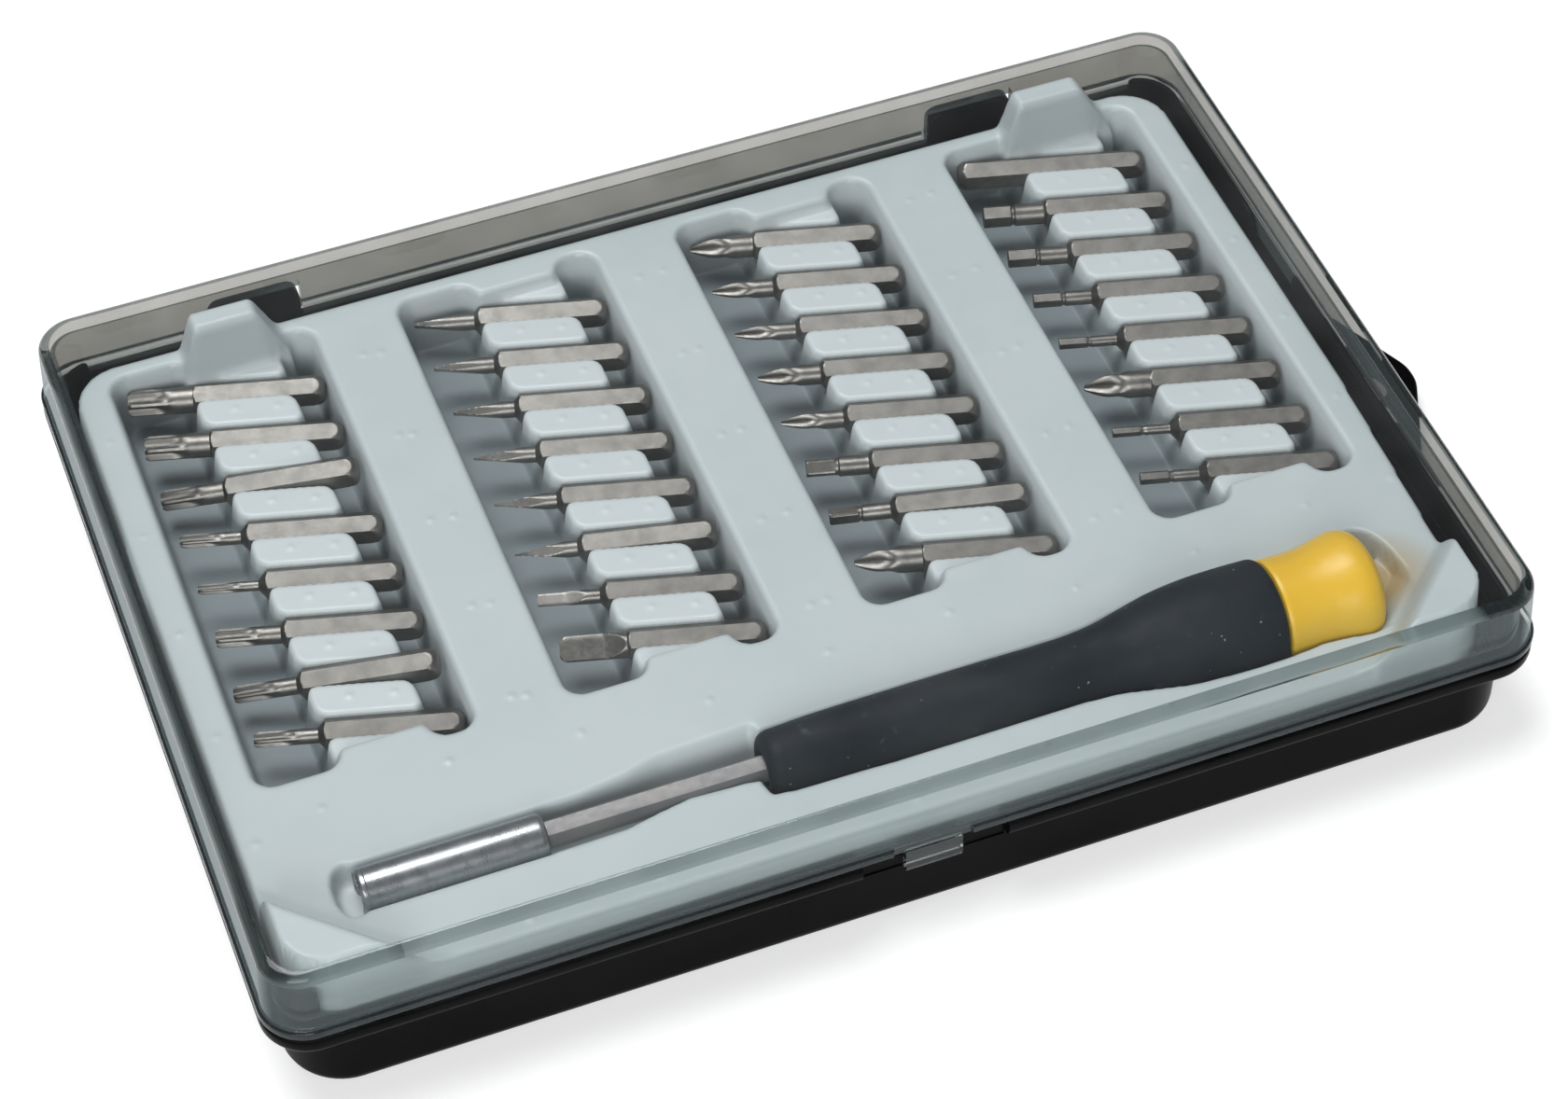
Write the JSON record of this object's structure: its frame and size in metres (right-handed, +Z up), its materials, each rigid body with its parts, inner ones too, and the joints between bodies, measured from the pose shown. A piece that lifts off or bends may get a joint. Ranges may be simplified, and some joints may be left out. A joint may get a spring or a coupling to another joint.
{
  "type": "precision screwdriver set",
  "caption": "Flat hinged case with a clear lid and a formed tray that holds slanted hexagonal screwdriver bits in columns and a slim driver with a swivel cap.",
  "frame": {"origin": "middle of the flat underside of the case", "axes": "+X to the right along the case, +Y to the hinge side at the back, +Z up out of the lid"},
  "size_m": [0.1892, 0.1252, 0.026],
  "materials": {
    "black_plastic": "smooth moulded, low gloss",
    "clear_plastic": "clear moulded polystyrene, faint grey-green tint",
    "white_sheet": "vacuum-formed sheet, satin, cool white",
    "bit_steel": "satin, bead-blasted tool steel",
    "aluminium": "bright turned",
    "magnet_steel": "nickel plated",
    "shaft_steel": "satin grey",
    "black_rubber": "matt soft grip",
    "yellow_plastic": "smooth moulded"
  },
  "bodies": {
    "case": {"base_shell": "black_plastic", "bit_cross_1": "bit_steel", "bit_cross_2": "bit_steel", "bit_cross_3": "bit_steel", "bit_cross_4": "bit_steel", "bit_cross_5": "bit_steel", "bit_cross_6": "bit_steel", "bit_cross_7": "bit_steel", "bit_hex_1": "bit_steel", "bit_hex_2": "bit_steel", "bit_hex_3": "bit_steel", "bit_hex_4": "bit_steel", "bit_hex_5": "bit_steel", "bit_hex_6": "bit_steel", "bit_hex_7": "bit_steel", "bit_slotted_1": "bit_steel", "bit_slotted_2": "bit_steel", "bit_slotted_3": "bit_steel", "bit_slotted_4": "bit_steel", "bit_slotted_5": "bit_steel", "bit_slotted_6": "bit_steel", "bit_slotted_7": "bit_steel", "bit_slotted_8": "bit_steel", "bit_socket": "aluminium", "bit_square_1": "bit_steel", "bit_square_2": "bit_steel", "bit_star_1": "bit_steel", "bit_star_2": "bit_steel", "bit_star_3": "bit_steel", "bit_star_4": "bit_steel", "bit_star_5": "bit_steel", "bit_star_6": "bit_steel", "bit_star_7": "bit_steel", "bit_star_8": "bit_steel", "driver_core": "black_plastic", "driver_grip": "black_rubber", "driver_shaft": "shaft_steel", "socket_magnet": "magnet_steel", "swivel_pin": "shaft_steel", "tray": "white_sheet"},
    "lid": {"lid_shell": "clear_plastic"},
    "tab": {"hang_tab": "black_plastic"},
    "cap": {"swivel_cap": "yellow_plastic"}
  },
  "joints": [
    {"name": "lid_hinge", "type": "hinge", "parent": "case", "child": "lid", "pos_m": [0, 0.06135, 0.0166], "axis": [-1, 0, 0], "range_deg": [0, 120]},
    {"name": "hang_tab_slide", "type": "slide", "parent": "case", "child": "tab", "axis": [1, 0, 0], "range_m": [-0.0125, 0]},
    {"name": "cap_swivel", "type": "hinge", "parent": "case", "child": "cap", "pos_m": [0.0562, -0.0435, 0.01585], "axis": [1, 0, 0], "continuous": true}
  ]
}
